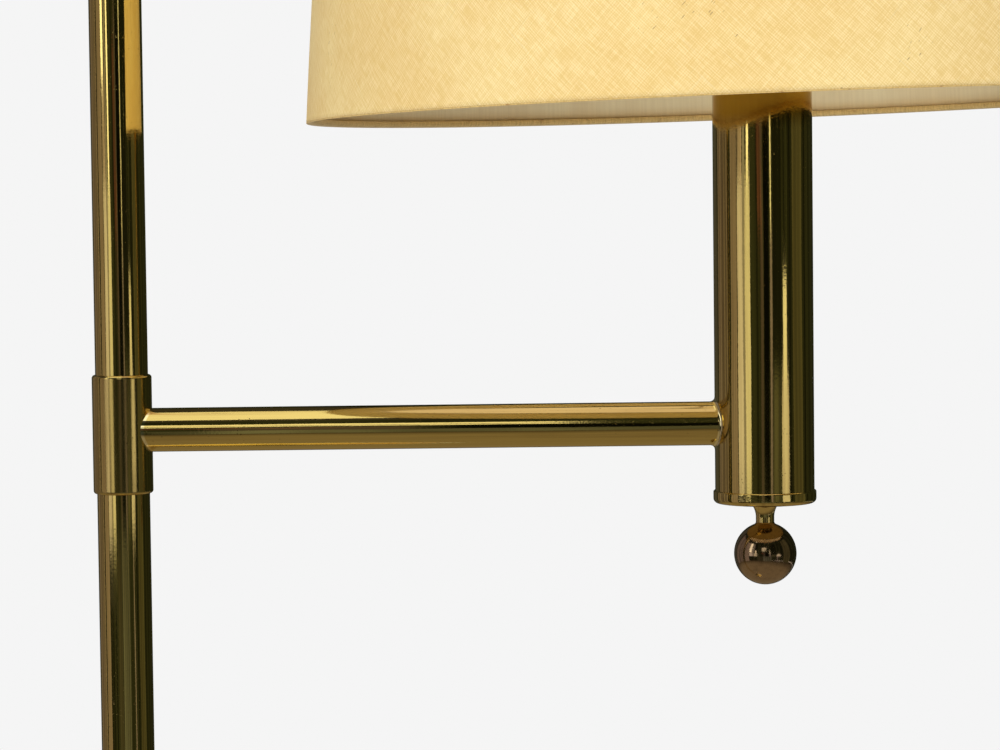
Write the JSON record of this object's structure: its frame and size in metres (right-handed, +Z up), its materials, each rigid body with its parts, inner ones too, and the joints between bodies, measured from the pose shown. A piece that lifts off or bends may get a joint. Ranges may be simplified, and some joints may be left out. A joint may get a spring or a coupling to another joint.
{
  "type": "bridge floor lamp",
  "caption": "Floor lamp with a round weighted base, a pole, a swivelling horizontal arm, an upright housing with a ball switch knob and a tapered drum shade on a harp.",
  "frame": {"origin": "on the floor at the centre of the base's felt, on the pole's axis", "axes": "+Z up along the pole, +X along the arm towards the housing at rest, +Y away from the picture's viewer"},
  "size_m": [0.6732, 0.4404, 1.4395],
  "materials": {
    "aged_brass": "polished, aged, with light tarnish",
    "knob_brass": "polished, darker bronze tone",
    "base_brass": "spun and polished, aged",
    "cast_iron": "as cast, painted black",
    "felt": "pressed wool felt",
    "zinc_steel": "zinc plated",
    "harp_brass": "brass plated wire",
    "bakelite": "moulded phenolic",
    "nylon": "natural nylon",
    "inlet_plastic": "moulded black",
    "paper": "fibre board liner",
    "copper_alloy": "bright pressed brass",
    "bulb_aluminium": "rolled thread cap",
    "bulb_glass": "frosted inside",
    "lead_insulation": "sleeved flex core",
    "silk": "slubbed silk",
    "lining": "stiff laminated lining",
    "hem": "silk tape",
    "frame_wire": "brass-washed wire"
  },
  "bodies": {
    "stand": {"base_felt": "felt", "base_cover": "base_brass", "base_weight": "cast_iron", "base_washer": "zinc_steel", "base_locknut": "zinc_steel", "base_nipple": "zinc_steel", "foot_collar": "aged_brass", "flex_inlet_bush": "inlet_plastic", "lower_pole": "aged_brass", "upper_pole": "aged_brass", "pole_foot_plug": "copper_alloy", "pole_top_plug": "copper_alloy", "pole_spigot": "copper_alloy", "pole_finial": "knob_brass", "lower_swivel_washer": "nylon", "upper_swivel_washer": "nylon"},
    "swing_arm": {"swivel_sleeve": "aged_brass", "swivel_bush": "copper_alloy", "stop_pin": "zinc_steel", "arm_tube": "aged_brass", "housing_tube": "aged_brass", "housing_bottom_cap": "aged_brass", "housing_top_cap": "aged_brass", "rotary_switch": "bakelite", "switch_locknut": "zinc_steel", "socket_nipple": "zinc_steel", "lower_nipple_nut": "zinc_steel", "upper_nipple_nut": "zinc_steel", "socket_cap": "copper_alloy", "socket_shell": "copper_alloy", "socket_liner": "paper", "socket_core": "bakelite", "socket_screw_shell": "copper_alloy", "socket_contact": "copper_alloy", "bulb_base": "bulb_aluminium", "bulb_glass": "bulb_glass", "switched_lead": "lead_insulation", "neutral_lead": "lead_insulation", "harp_saddle": "harp_brass", "harp": "harp_brass", "harp_stud": "harp_brass", "left_harp_ferrule": "harp_brass", "right_harp_ferrule": "harp_brass", "shade_finial": "knob_brass", "shade_fabric": "silk", "shade_lining": "lining", "shade_bottom_hem": "hem", "shade_top_hem": "hem", "shade_bottom_ring": "frame_wire", "shade_spider": "frame_wire"},
    "switch_knob": {"ball_knob": "knob_brass", "switch_shaft": "zinc_steel"}
  },
  "joints": [
    {"name": "arm_swivel", "type": "hinge", "parent": "stand", "child": "swing_arm", "pos_m": [0, 0, 1], "axis": [0, 0, 1], "range_deg": [-90, 90]},
    {"name": "switch_turn", "type": "hinge", "parent": "swing_arm", "child": "switch_knob", "pos_m": [0.31, 0, 0.9367], "axis": [0, 0, 1], "continuous": true}
  ]
}
